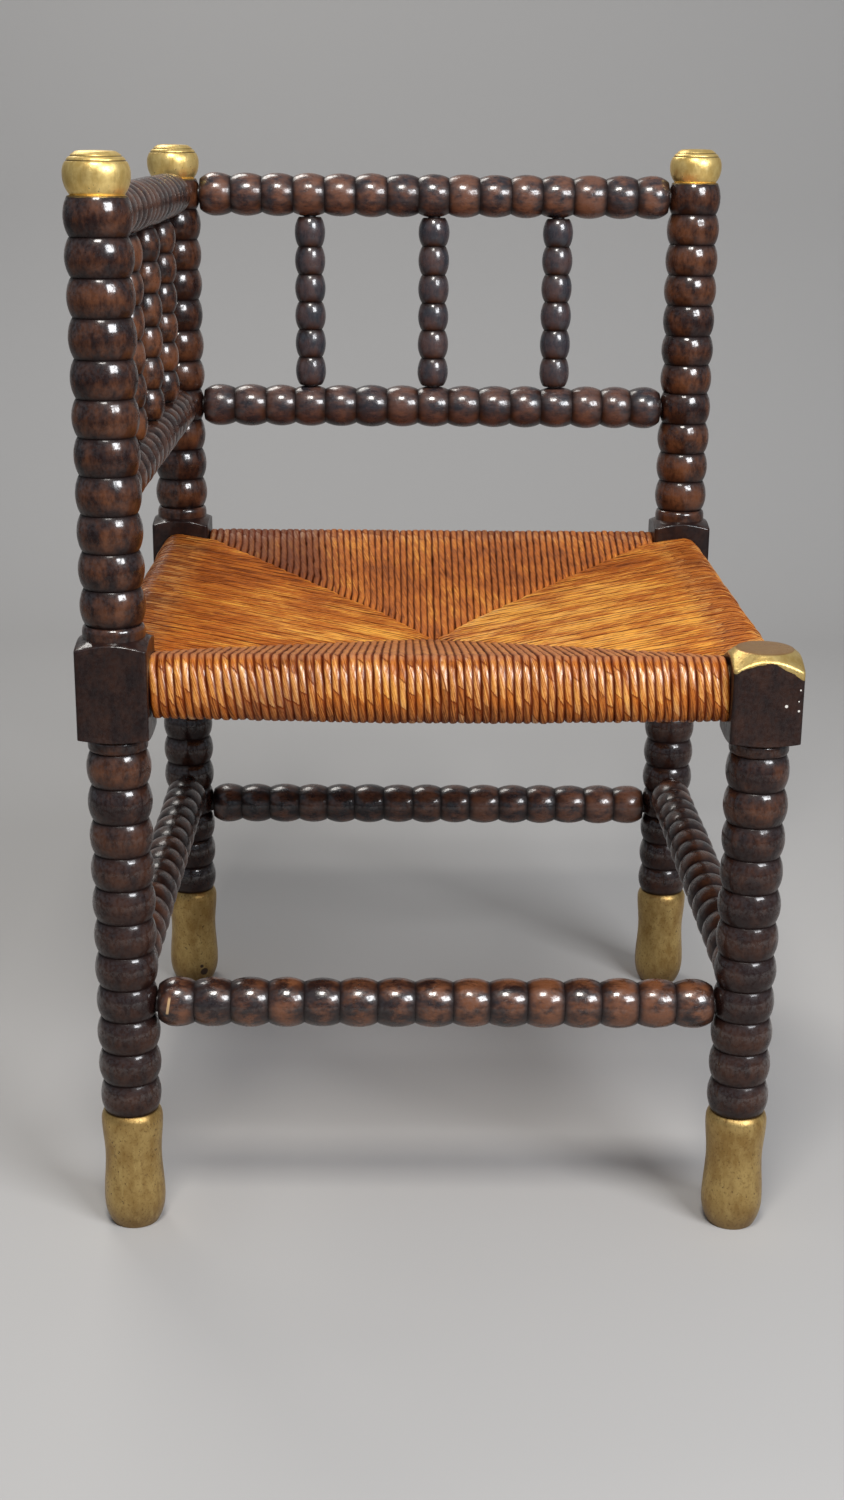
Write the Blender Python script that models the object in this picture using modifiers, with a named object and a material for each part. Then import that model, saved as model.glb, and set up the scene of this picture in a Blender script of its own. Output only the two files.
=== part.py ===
"""Corner chair with a bobbin-turned frame and a woven rush seat.

Metres, +Z up. The origin is on the floor under the middle of the seat, and the front faces -Y.
The plan is square. Open panels stand over the back (+Y) and the left side (-X), and the front
right post stops at its seat block. All joints are fixed round tenons in blind mortises.
"""

import math

import bmesh
import bpy
from mathutils import Matrix, Vector

# Plan
POST_SPACING = 0.408           # between post centre lines, both ways

# Posts: each is turned from one square blank, which stays square at the seat block
BLANK_SIDE = 0.045
BLANK_EASE = 0.002             # eased edges of the square block
FOOT_HEIGHT = 0.0838
FOOT_RADIUS = 0.0202           # shoulder and toe of the foot
FOOT_SHOULDER_DROP = 0.006     # from the top of the foot down to its full shoulder
FOOT_WAIST_RADIUS = 0.0188
FOOT_WAIST_HEIGHT = 0.045
FOOT_TOE_HEIGHT = 0.013
FOOT_BASE_RADIUS = 0.0172      # flat that stands on the floor
LEG_BEADS = 11
LEG_BEAD_LENGTH = 0.02295
BEAD_RADIUS = 0.0205
GROOVE_RADIUS = 0.0176
BEAD_SHOULDER = 0.27           # share of a bead's length from its groove to its full radius
NECK_HEIGHT = 0.0095           # cove between the leg beads and the block
NECK_RADIUS = 0.0182
BLOCK_HEIGHT = 0.0627          # at the middle of a face
BLOCK_TOP_FALL = 0.0040        # fall of the turned upper shoulder from face to corner
BLOCK_BOTTOM_RISE = 0.0020     # rise of the turned lower shoulder from face to corner
RING_HEIGHT = 0.0095           # plain ring between the block and the upper beads
RING_RADIUS = 0.0196
UPPER_BEADS = 11
UPPER_BEAD_LENGTH = 0.0234
FINIAL_HEIGHT = 0.0252
FINIAL_RADIUS = 0.0199
FINIAL_FLAT_RADIUS = 0.0145
FINIAL_FULLNESS = 0.6          # 1 swells as a sine; less is fuller at the shoulders
SHORT_BLOCK_HEIGHT = 0.0552    # block of the front right post, at the middle of a face
CAP_HEIGHT = 0.0036            # low turned cone that ends it
CAP_FLAT_RADIUS = 0.0180

# Turned rails and stretchers
RAIL_BEADS = 15
RAIL_BEAD_RADIUS = 0.0164
RAIL_GROOVE_RADIUS = 0.0134
TOP_RAIL_BEAD = 1              # upper post bead, counted from the finial, that the rail enters
LOWER_RAIL_BEAD = 8
FRONT_STRETCHER_HEIGHT = 0.1608
SIDE_STRETCHER_HEIGHT = 0.1765

# Spindles of the two open panels
SPINDLES = 3
SPINDLE_STEP = 4               # rail beads from one spindle to the next
SPINDLE_BEADS = 6
SPINDLE_BEAD_RADIUS = 0.0121
SPINDLE_GROOVE_RADIUS = 0.0090

# Seat rails, hidden in the rush
SEAT_RAIL_HEIGHT = 0.030
SEAT_RAIL_WIDTH = 0.021
SEAT_RAIL_EASE = 0.009
SEAT_RAIL_LIFT = 0.0320        # middle of the rails above the underside of the block

# Woven rush and the loose rush packed in its pockets
RUSH_THICKNESS = 0.0052        # one layer of twisted strands
SEAT_DISH = 0.0405             # fall of the top from the rails to the middle
SEAT_CENTRE_THICKNESS = 0.013
PANEL_CROWN = 1.05             # 1 is a flat panel; more is fuller towards the rails
POCKET_WALL = 0.008            # rush left between two pockets along each diagonal
POCKET_INNER = 0.060           # nearest that a pocket comes to the middle

# Joints and clearances
TENON_RADIUS = 0.0070
SPINDLE_TENON_RADIUS = 0.0050
SPINDLE_TENON_DEPTH = 0.0080
MORTISE_WALL = 0.0015          # wood left between two mortises that meet at a right angle
BORE_LEAD = 0.004              # how far a boring tool starts outside the wood
JOINT_GAP = 0.0003

# Facets of the turned pieces
POST_SIDES = 12
RAIL_SIDES = 8
SQUARE_SIDES = 4

# Finishes: colour, roughness, metallic
STAINED_WOOD = ((0.050, 0.022, 0.012, 1.0), 0.30, 0.0)
BARE_WOOD = ((0.420, 0.270, 0.140, 1.0), 0.65, 0.0)
VARNISHED_RUSH = ((0.480, 0.170, 0.040, 1.0), 0.40, 0.0)
LOOSE_RUSH = ((0.450, 0.330, 0.150, 1.0), 0.85, 0.0)

# Heights and half sizes worked out from the sizes above
LEG_TOP = FOOT_HEIGHT + LEG_BEADS * LEG_BEAD_LENGTH
BLOCK_BOTTOM = LEG_TOP + NECK_HEIGHT
BLOCK_TOP = BLOCK_BOTTOM + BLOCK_HEIGHT
RING_TOP = BLOCK_TOP + RING_HEIGHT
FINIAL_BOTTOM = RING_TOP + UPPER_BEADS * UPPER_BEAD_LENGTH
HALF_SPACING = POST_SPACING / 2
HALF_BLANK = BLANK_SIDE / 2

for old in list(bpy.data.objects):
    bpy.data.objects.remove(old, do_unlink=True)

chair = bpy.data.collections.new("corner_chair")
cutters = bpy.data.collections.new("cutters")
bpy.context.scene.collection.children.link(chair)
bpy.context.scene.collection.children.link(cutters)


def add_part(name, mesh, finish, matrix):
    """A named piece of the chair with its own material."""
    colour, roughness, metallic = finish
    material = bpy.data.materials.new(name)
    material.use_nodes = True
    shader = material.node_tree.nodes["Principled BSDF"]
    shader.inputs["Base Color"].default_value = colour
    shader.inputs["Roughness"].default_value = roughness
    shader.inputs["Metallic"].default_value = metallic
    material.diffuse_color = colour
    mesh.materials.append(material)
    piece = bpy.data.objects.new(name, mesh)
    piece.matrix_world = matrix
    chair.objects.link(piece)
    return piece


def add_cutter(name, mesh, matrix):
    """A hidden tool shape for a Boolean."""
    tool = bpy.data.objects.new(name, mesh)
    tool.matrix_world = matrix
    tool.hide_render = True
    tool.display_type = "WIRE"
    cutters.objects.link(tool)
    return tool


def cut(piece, tool, operation="DIFFERENCE"):
    """Cuts a piece with a tool, or keeps what the two share."""
    boolean = piece.modifiers.new(tool.name, "BOOLEAN")
    boolean.object = tool
    boolean.operation = operation
    boolean.solver = "EXACT"


def profile_mesh(name, points):
    """An open edge chain in the XZ plane from (radius, height) points."""
    mesh = bpy.data.meshes.new(name)
    vertices = [(radius, 0.0, height) for radius, height in points]
    edges = [(i, i + 1) for i in range(len(points) - 1)]
    mesh.from_pydata(vertices, edges, [])
    return mesh


def turn(piece, sides):
    """Turns a profile that runs from the top of the axis, down the outside, to its foot."""
    screw = piece.modifiers.new("Turning", "SCREW")
    screw.axis = "Z"
    screw.angle = math.tau
    screw.steps = sides
    screw.render_steps = sides
    screw.use_merge_vertices = True
    screw.merge_threshold = 0.00001
    screw.use_smooth_shade = sides > SQUARE_SIDES


def box_mesh(name, low, high, ease=0.0):
    """A box between two corners, with the edges along its Z axis eased."""
    bm = bmesh.new()
    bmesh.ops.create_cube(bm, size=1.0)
    low = Vector(low)
    high = Vector(high)
    bmesh.ops.scale(bm, vec=high - low, verts=bm.verts)
    bmesh.ops.translate(bm, vec=(low + high) / 2, verts=bm.verts)
    if ease > 0:
        upright = [edge for edge in bm.edges if edge.verts[0].co.xy == edge.verts[1].co.xy]
        bmesh.ops.bevel(bm, geom=upright, offset=ease, segments=2, profile=0.5, affect="EDGES")
    mesh = bpy.data.meshes.new(name)
    bm.to_mesh(mesh)
    bm.free()
    return mesh


def bead_row(top, beads, length, bead_radius, groove_radius):
    """Profile down a row of beads: each is a groove and the two shoulders of a barrel."""
    points = []
    for bead in range(beads):
        start = top - bead * length
        points.append((groove_radius, start))
        points.append((bead_radius, start - BEAD_SHOULDER * length))
        points.append((bead_radius, start - (1 - BEAD_SHOULDER) * length))
    points.append((groove_radius, top - beads * length))
    return points


# Posts

CORNER_REACH = HALF_BLANK * (math.sqrt(2) - 1)
CLEAR_RADIUS = HALF_BLANK * 1.5    # beyond the block's corners, so that they stay square


def block_profile(inner_radius, top, top_fall, bottom):
    """Profile past the square block: a straight shoulder above and below, clear of the corners."""
    fall = top_fall / CORNER_REACH
    rise = BLOCK_BOTTOM_RISE / CORNER_REACH
    return [
        (inner_radius, top + fall * (HALF_BLANK - inner_radius)),
        (CLEAR_RADIUS, top - fall * (CLEAR_RADIUS - HALF_BLANK)),
        (CLEAR_RADIUS, bottom + rise * (CLEAR_RADIUS - HALF_BLANK)),
        (NECK_RADIUS, bottom - rise * (HALF_BLANK - NECK_RADIUS)),
    ]


def leg_profile():
    """Profile from the first groove under the neck down the beads to the foot."""
    points = bead_row(LEG_TOP, LEG_BEADS, LEG_BEAD_LENGTH, BEAD_RADIUS, GROOVE_RADIUS)
    points += [
        (FOOT_RADIUS, FOOT_HEIGHT - FOOT_SHOULDER_DROP),
        (FOOT_WAIST_RADIUS, FOOT_WAIST_HEIGHT),
        (FOOT_RADIUS, FOOT_TOE_HEIGHT),
        (FOOT_BASE_RADIUS, 0.0),
        (0.0, 0.0),
    ]
    return points


def bun_profile(top):
    """Flat-topped bun: the radius swells from the flat by a rounded sine over the height."""
    steps = 5
    points = [(0.0, top)]
    for step in range(steps):
        share = step / steps
        swell = math.sin(math.pi * share) ** FINIAL_FULLNESS
        radius = FINIAL_FLAT_RADIUS + (FINIAL_RADIUS - FINIAL_FLAT_RADIUS) * swell
        points.append((radius, top - share * FINIAL_HEIGHT))
    return points


def tall_post_profile():
    """Bun finial, upper beads, ring, block and leg."""
    points = bun_profile(FINIAL_BOTTOM + FINIAL_HEIGHT)
    points += bead_row(FINIAL_BOTTOM, UPPER_BEADS, UPPER_BEAD_LENGTH, BEAD_RADIUS, GROOVE_RADIUS)
    points.append((RING_RADIUS, RING_TOP - BEAD_SHOULDER * RING_HEIGHT))
    points += block_profile(RING_RADIUS, BLOCK_TOP, BLOCK_TOP_FALL, BLOCK_BOTTOM)
    return points + leg_profile()


def short_post_profile():
    """Flat-topped low cone, block and leg."""
    block_top = BLOCK_BOTTOM + SHORT_BLOCK_HEIGHT
    cone_fall = CAP_HEIGHT / (HALF_BLANK - CAP_FLAT_RADIUS) * CORNER_REACH
    points = [(0.0, block_top + CAP_HEIGHT)]
    points += block_profile(CAP_FLAT_RADIUS, block_top, cone_fall, BLOCK_BOTTOM)
    return points + leg_profile()


def add_post(name, side, depth, profile):
    """A post turned from a square bar, standing at one corner of the plan."""
    place = Matrix.Translation((side * HALF_SPACING, depth * HALF_SPACING, 0.0))
    post = add_part(name, profile_mesh(name, profile), STAINED_WOOD, place)
    turn(post, POST_SIDES)
    low = (-HALF_BLANK, -HALF_BLANK, -BLANK_EASE)
    high = (HALF_BLANK, HALF_BLANK, profile[0][1] + BLANK_EASE)
    bar = add_cutter(name + "_bar", box_mesh(name + "_bar", low, high, BLANK_EASE), place)
    cut(post, bar, "INTERSECT")
    return post


FRONT, BACK, LEFT, RIGHT = -1, 1, -1, 1
post_front_left = add_post("post_front_left", LEFT, FRONT, tall_post_profile())
post_back_left = add_post("post_back_left", LEFT, BACK, tall_post_profile())
post_back_right = add_post("post_back_right", RIGHT, BACK, tall_post_profile())
post_front_right = add_post("post_front_right", RIGHT, FRONT, short_post_profile())

# Each side of the chair: its two posts, its place in the plan, and the quarter turn of its bars
SIDES = {
    "front": ((post_front_left, post_front_right), (0, FRONT), 0),
    "back": ((post_back_left, post_back_right), (0, BACK), 0),
    "left": ((post_front_left, post_back_left), (LEFT, 0), 1),
    "right": ((post_front_right, post_back_right), (RIGHT, 0), 1),
}


def side_matrix(side, height):
    """Lays a bar's own Z axis level along one side of the chair, halfway between its posts."""
    hosts, place, quarter = SIDES[side]
    middle = Matrix.Translation((place[0] * HALF_SPACING, place[1] * HALF_SPACING, height))
    turned = Matrix.Rotation(math.pi / 2 * quarter, 4, "Z")
    return middle @ turned @ Matrix.Rotation(math.pi / 2, 4, "Y")


def mortise(name, matrix, shoulder, depth, radius, hosts):
    """Bores the two blind holes that take a bar's tenons, each in its own host."""
    start = shoulder - BORE_LEAD
    stop = shoulder + depth + JOINT_GAP
    bore = radius + JOINT_GAP
    for end, host in zip((-1, 1), hosts):
        bm = bmesh.new()
        place = Matrix.Translation((0, 0, end * (start + stop) / 2))
        bmesh.ops.create_cone(bm, cap_ends=True, segments=RAIL_SIDES, radius1=bore, radius2=bore,
                              depth=stop - start, matrix=place)
        mesh = bpy.data.meshes.new(name + "_bore")
        bm.to_mesh(mesh)
        bm.free()
        cut(host, add_cutter(name + "_bore", mesh, matrix))


def tenoned_profile(shoulder, depth, radius, body):
    """Profile of a bar: a tenon, the body between its two shoulders, and a tenon."""
    tip = shoulder + depth
    upper = [(0.0, tip), (radius, tip), (radius, shoulder)]
    lower = [(radius, -shoulder), (radius, -tip), (0.0, -tip)]
    return upper + body + lower


# Turned rails and stretchers

RAIL_SHOULDER = HALF_SPACING - BEAD_RADIUS - JOINT_GAP
RAIL_BEAD_LENGTH = 2 * RAIL_SHOULDER / RAIL_BEADS
RAIL_TENON_DEPTH = BEAD_RADIUS - TENON_RADIUS - JOINT_GAP - MORTISE_WALL


def add_rail(name, side, height):
    """A row of beads from post to post along one side of the chair."""
    beads = bead_row(RAIL_SHOULDER, RAIL_BEADS, RAIL_BEAD_LENGTH, RAIL_BEAD_RADIUS, RAIL_GROOVE_RADIUS)
    profile = tenoned_profile(RAIL_SHOULDER, RAIL_TENON_DEPTH, TENON_RADIUS, beads)
    matrix = side_matrix(side, height)
    rail = add_part(name, profile_mesh(name, profile), STAINED_WOOD, matrix)
    turn(rail, RAIL_SIDES)
    mortise(name, matrix, RAIL_SHOULDER, RAIL_TENON_DEPTH, TENON_RADIUS, SIDES[side][0])
    return rail


def upper_bead_height(bead):
    """Height of the middle of an upper post bead, counted down from the finial."""
    return FINIAL_BOTTOM - (bead - 0.5) * UPPER_BEAD_LENGTH


for side in ("front", "back"):
    add_rail("stretcher_" + side, side, FRONT_STRETCHER_HEIGHT)
for side in ("left", "right"):
    add_rail("stretcher_" + side, side, SIDE_STRETCHER_HEIGHT)

# Open panels over the back and the left side

TOP_RAIL_HEIGHT = upper_bead_height(TOP_RAIL_BEAD)
LOWER_RAIL_HEIGHT = upper_bead_height(LOWER_RAIL_BEAD)
SPINDLE_MIDDLE = (TOP_RAIL_HEIGHT + LOWER_RAIL_HEIGHT) / 2
SPINDLE_SHOULDER = (TOP_RAIL_HEIGHT - LOWER_RAIL_HEIGHT) / 2 - RAIL_BEAD_RADIUS - JOINT_GAP
SPINDLE_BEAD_LENGTH = 2 * SPINDLE_SHOULDER / SPINDLE_BEADS


def add_spindle(name, side, offset, rails):
    """An upright row of beads between the two rails of a panel."""
    beads = bead_row(SPINDLE_SHOULDER, SPINDLE_BEADS, SPINDLE_BEAD_LENGTH,
                     SPINDLE_BEAD_RADIUS, SPINDLE_GROOVE_RADIUS)
    profile = tenoned_profile(SPINDLE_SHOULDER, SPINDLE_TENON_DEPTH, SPINDLE_TENON_RADIUS, beads)
    matrix = Matrix.Translation(side_matrix(side, SPINDLE_MIDDLE) @ Vector((0, 0, offset)))
    spindle = add_part(name, profile_mesh(name, profile), STAINED_WOOD, matrix)
    turn(spindle, RAIL_SIDES)
    mortise(name, matrix, SPINDLE_SHOULDER, SPINDLE_TENON_DEPTH, SPINDLE_TENON_RADIUS, rails)


for side in ("back", "left"):
    top_rail = add_rail("top_rail_" + side, side, TOP_RAIL_HEIGHT)
    lower_rail = add_rail("lower_rail_" + side, side, LOWER_RAIL_HEIGHT)
    for number in range(SPINDLES):
        beads_from_middle = (number - (SPINDLES - 1) / 2) * SPINDLE_STEP
        offset = beads_from_middle * RAIL_BEAD_LENGTH
        add_spindle(f"spindle_{side}_{number + 1}", side, offset, (lower_rail, top_rail))

# Seat rails: plain eased bars with round tenons, all at one height

SEAT_PLANE = Matrix.Translation((0, 0, BLOCK_BOTTOM + SEAT_RAIL_LIFT))
SEAT_SHOULDER = HALF_SPACING - HALF_BLANK - JOINT_GAP
SEAT_TENON_DEPTH = HALF_BLANK - TENON_RADIUS - JOINT_GAP - MORTISE_WALL


def seat_bar_mesh(name, clearance):
    """An eased bar of the seat rail's section, grown by a clearance, from post centre to centre."""
    half_height = SEAT_RAIL_HEIGHT / 2 + clearance
    half_width = SEAT_RAIL_WIDTH / 2 + clearance
    low = (-half_height, -half_width, -HALF_SPACING)
    high = (half_height, half_width, HALF_SPACING)
    return box_mesh(name, low, high, SEAT_RAIL_EASE)


def add_seat_rail(name, side):
    """A squared bar from block to block, its ends turned down to tenons."""
    clear_radius = SEAT_RAIL_HEIGHT / 2 + SEAT_RAIL_WIDTH / 2
    body = [(clear_radius, SEAT_SHOULDER), (clear_radius, -SEAT_SHOULDER)]
    profile = tenoned_profile(SEAT_SHOULDER, SEAT_TENON_DEPTH, TENON_RADIUS, body)
    matrix = SEAT_PLANE @ side_matrix(side, 0.0)
    rail = add_part(name, profile_mesh(name, profile), BARE_WOOD, matrix)
    turn(rail, RAIL_SIDES)
    cut(rail, add_cutter(name + "_bar", seat_bar_mesh(name + "_bar", 0.0), matrix), "INTERSECT")
    mortise(name, matrix, SEAT_SHOULDER, SEAT_TENON_DEPTH, TENON_RADIUS, SIDES[side][0])


for side in SIDES:
    add_seat_rail("seat_rail_" + side, side)

# Woven rush: one dished square body wrapped over the four rails, in the seat plane

SEAT_TOP = SEAT_RAIL_HEIGHT / 2 + RUSH_THICKNESS
SEAT_BOTTOM = -SEAT_TOP
SEAT_EDGE = HALF_SPACING + SEAT_RAIL_WIDTH / 2 + RUSH_THICKNESS
SEAT_ROLL = SEAT_RAIL_EASE + RUSH_THICKNESS
MIDDLE_BOTTOM = SEAT_TOP - SEAT_DISH - SEAT_CENTRE_THICKNESS


def seat_top_at(distance):
    """Height of the dished top at a distance from the middle towards a rail."""
    inward = 1 - distance / HALF_SPACING
    return SEAT_TOP - SEAT_DISH * inward ** PANEL_CROWN


def seat_bottom_at(distance):
    """Height of the underside at a distance from the middle towards a rail."""
    inward = 1 - distance / HALF_SPACING
    return SEAT_BOTTOM + (MIDDLE_BOTTOM - SEAT_BOTTOM) * inward


def rush_profile():
    """Section from the middle over a rail and back under it, for a four-sided turning."""
    panel_steps = 6
    roll_steps = 4
    points = []
    for step in range(panel_steps + 1):
        distance = HALF_SPACING * step / panel_steps
        points.append((distance, seat_top_at(distance)))
    for middle_height, first in ((SEAT_TOP - SEAT_ROLL, 1), (SEAT_BOTTOM + SEAT_ROLL, 0)):
        for step in range(roll_steps + 1):
            angle = math.pi / 2 * (first - step / roll_steps)
            distance = SEAT_EDGE - SEAT_ROLL + SEAT_ROLL * math.cos(angle)
            points.append((distance, middle_height + SEAT_ROLL * math.sin(angle)))
    points.append((HALF_SPACING, SEAT_BOTTOM))
    points.append((0.0, MIDDLE_BOTTOM))
    corner = math.sqrt(2)
    return [(distance * corner, height) for distance, height in points]


def pocket_mesh(name, outer, inset):
    """A wedge of the hollow between the two layers on the front side, drawn in by an inset."""
    widest = HALF_SPACING - HALF_BLANK - JOINT_GAP - POCKET_WALL
    narrowest = POCKET_INNER - POCKET_WALL
    inner_top = seat_top_at(POCKET_INNER)
    wall = RUSH_THICKNESS + inset
    mesh = box_mesh(name, (-1, -1, -1), (1, 1, 1))
    for vertex in mesh.vertices:
        distance = outer - inset if vertex.co.y < 0 else POCKET_INNER + inset
        share = (distance - POCKET_INNER) / (HALF_SPACING - POCKET_INNER)
        half = narrowest + (widest - narrowest) * share - inset
        top = inner_top + (SEAT_TOP - inner_top) * share - wall
        bottom = seat_bottom_at(distance) + wall
        vertex.co.x = math.copysign(half, vertex.co.x)
        vertex.co.y = -distance
        vertex.co.z = top if vertex.co.z > 0 else bottom
    return mesh


EIGHTH_TURN = Matrix.Rotation(math.pi / 4, 4, "Z")
rush_seat = add_part("rush_seat", profile_mesh("rush_seat", rush_profile()), VARNISHED_RUSH,
                     SEAT_PLANE @ EIGHTH_TURN)
turn(rush_seat, SQUARE_SIDES)

# The weave stops round the four post blocks
NOTCH = HALF_BLANK + JOINT_GAP
for post in (post_front_left, post_back_left, post_back_right, post_front_right):
    name = "rush_notch_" + post.name
    block = box_mesh(name, (-NOTCH, -NOTCH, 0.0), (NOTCH, NOTCH, RING_TOP))
    cut(rush_seat, add_cutter(name, block, post.matrix_world.copy()))

# On each side a rail runs through the rush, and loose rush fills the pocket behind it
for quarter, side in enumerate(("front", "right", "back", "left")):
    name = "rush_tunnel_" + side
    tunnel = seat_bar_mesh(name, JOINT_GAP)
    cut(rush_seat, add_cutter(name, tunnel, SEAT_PLANE @ side_matrix(side, 0.0)))
    facing = SEAT_PLANE @ Matrix.Rotation(math.pi / 2 * quarter, 4, "Z")
    name = "rush_pocket_" + side
    cut(rush_seat, add_cutter(name, pocket_mesh(name, HALF_SPACING, 0.0), facing))
    name = "rush_stuffing_" + side
    rail_face = HALF_SPACING - SEAT_RAIL_WIDTH / 2
    add_part(name, pocket_mesh(name, rail_face, JOINT_GAP), LOOSE_RUSH, facing)
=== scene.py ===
import math

import bpy
import numpy as np
from mathutils import Matrix, Vector


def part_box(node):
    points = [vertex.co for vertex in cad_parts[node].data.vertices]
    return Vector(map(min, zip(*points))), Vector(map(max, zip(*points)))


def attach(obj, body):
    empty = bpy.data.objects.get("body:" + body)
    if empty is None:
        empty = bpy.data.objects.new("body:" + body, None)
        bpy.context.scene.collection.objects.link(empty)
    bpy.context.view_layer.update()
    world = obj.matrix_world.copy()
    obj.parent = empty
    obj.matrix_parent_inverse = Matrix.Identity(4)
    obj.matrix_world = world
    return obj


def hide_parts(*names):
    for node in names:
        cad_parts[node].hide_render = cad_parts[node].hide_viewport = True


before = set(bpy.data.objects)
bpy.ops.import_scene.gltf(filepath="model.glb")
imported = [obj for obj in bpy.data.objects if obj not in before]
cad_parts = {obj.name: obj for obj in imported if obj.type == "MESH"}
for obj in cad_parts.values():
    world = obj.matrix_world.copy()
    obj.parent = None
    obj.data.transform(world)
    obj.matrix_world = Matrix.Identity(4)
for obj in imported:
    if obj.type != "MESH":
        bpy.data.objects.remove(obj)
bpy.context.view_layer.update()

# Posts
# Each post is turned from one square blank of hardwood: a foot, a leg of beads, a block left square for
# the seat rails, a plain ring, more beads and a bun finial. The wood is stained nearly black and waxed,
# and feet, finials and the top of the short post were gilded by brush once the chair was together.

BLANK_HALF = 0.0225
HALF_SPACING = 0.204
POST_GROOVE = 0.0173
POST_CROWN = 0.0205
POST_ROUNDNESS = 0.82
FOOT_HEIGHT = 0.0838
FOOT_RADIUS = 0.0197
LEG_BEADS = 11
LEG_BEAD_LENGTH = 0.02295
LEG_TOP = FOOT_HEIGHT + LEG_BEADS * LEG_BEAD_LENGTH
COLLAR_HEIGHT = 0.0095
BLOCK_BOTTOM = LEG_TOP + COLLAR_HEIGHT
BLOCK_HEIGHT = 0.0627
BLOCK_TOP = BLOCK_BOTTOM + BLOCK_HEIGHT
BLOCK_UNDER_SLOPE = 0.215
BLOCK_OVER_SLOPE = 0.43
RING_HEIGHT = 0.0095
RING_RADIUS = 0.0197
RING_TOP = BLOCK_TOP + RING_HEIGHT
UPPER_BEADS = 11
UPPER_BEAD_LENGTH = 0.0234
FINIAL_BOTTOM = RING_TOP + UPPER_BEADS * UPPER_BEAD_LENGTH
FINIAL_HEIGHT = 0.0252
FINIAL_RADIUS = 0.0200
SHORT_BLOCK_HEIGHT = 0.0552
SHORT_BLOCK_TOP = BLOCK_BOTTOM + SHORT_BLOCK_HEIGHT
SHORT_CONE_SLOPE = 0.80
SHORT_FLAT_RADIUS = 0.0180
BEAD_ROWS = 16
POST_COLUMNS = 72
POST_SEED = 40


def bead_run(low, high, count, groove, crown, roundness, hand):
    """A run of hand-turned beads along an axis, as rows of height, radius, crown and tone.
    Along one bead, with u from -1 to 1, crown is (1 - u ** 2) ** roundness, and the radius goes from the
    groove to the full bead with it. Lengths and girths vary a little, and each bead has a tone."""
    lengths = 1 + 0.02 * np.clip(hand.standard_normal(count), -2, 2)
    edges = low + (high - low) * np.concatenate(([0.0], np.cumsum(lengths))) / lengths.sum()
    u = -np.cos(np.pi * np.arange(BEAD_ROWS) / BEAD_ROWS)
    swell = (1 - u ** 2) ** roundness
    girth = crown * (1 + 0.009 * np.clip(hand.standard_normal(count), -2, 2))
    rows = np.empty((count, BEAD_ROWS, 4))
    rows[..., 0] = (edges[:-1, None] + edges[1:, None]) / 2 + np.diff(edges)[:, None] / 2 * u
    rows[..., 1] = groove + (girth[:, None] - groove) * swell
    rows[..., 2] = swell
    rows[..., 3] = hand.random(count)[:, None]
    return rows.reshape(-1, 4)


def plain_rows(heights, radii, crown, tone=0.4):
    """Rows of height, radius, crown and tone for a stretch that isn't beaded."""
    heights, radii, crown, tone = np.broadcast_arrays(heights, radii, crown, tone)
    return np.stack((heights, radii, crown, tone), axis=-1)


def foot_rows():
    """The foot: a flat base, and a side whose radius is a mean plus a cosine from toe over waist to
    shoulder, rounded in by a power at both ends."""
    heights = np.linspace(0.0, FOOT_HEIGHT, 46)[:-1]
    toe, waist, shoulder = 0.0185, 0.050, 0.0765
    place = np.interp(heights, (toe, waist, shoulder), (0.0, 1.0, 2.0))
    radii = FOOT_RADIUS + 0.0008 * np.cos(np.pi * place)
    radii -= 0.0046 * np.maximum(0, 1 - heights / 0.0190) ** 2.4
    radii -= 0.0026 * np.maximum(0, (heights - shoulder) / (FOOT_HEIGHT - shoulder)) ** 2.2
    base = plain_rows(0.0, np.array([0.002, 0.008, 0.0135]), 0.4)
    return np.concatenate((base, plain_rows(heights, radii, 0.8)))


def block_rows(top, slope, inner):
    """The square block: a lathe-cut cone out past its corners, straight sides, and a cone in again.
    The cones run at their slope through the middle of each face, so the shoulders arch."""
    clear = 1.5 * BLANK_HALF
    neck = 0.0186
    under = np.linspace(neck, clear, 14)
    over = np.linspace(clear, inner, 18)
    lower = plain_rows(BLOCK_BOTTOM + BLOCK_UNDER_SLOPE * (under - BLANK_HALF), under, 0.30)
    upper = plain_rows(top - slope * (over - BLANK_HALF), over, 0.30)
    sides = plain_rows(np.linspace(lower[-1, 0], upper[0, 0], 22)[1:-1], clear, 0.25)
    return np.concatenate((lower, sides, upper))


def leg_rows(hand):
    """Foot, leg beads, and the collar under the block, which swells by (1 - u ** 4) ** 0.6."""
    beads = bead_run(FOOT_HEIGHT, LEG_TOP, LEG_BEADS, POST_GROOVE, POST_CROWN, POST_ROUNDNESS, hand)
    u = np.linspace(-1, 0.9, 12)
    collar = plain_rows(LEG_TOP + 0.0043 * (u + 1), POST_GROOVE + 0.0018 * (1 - u ** 4) ** 0.6, 0.6)
    return np.concatenate((foot_rows(), beads, collar))


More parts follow.
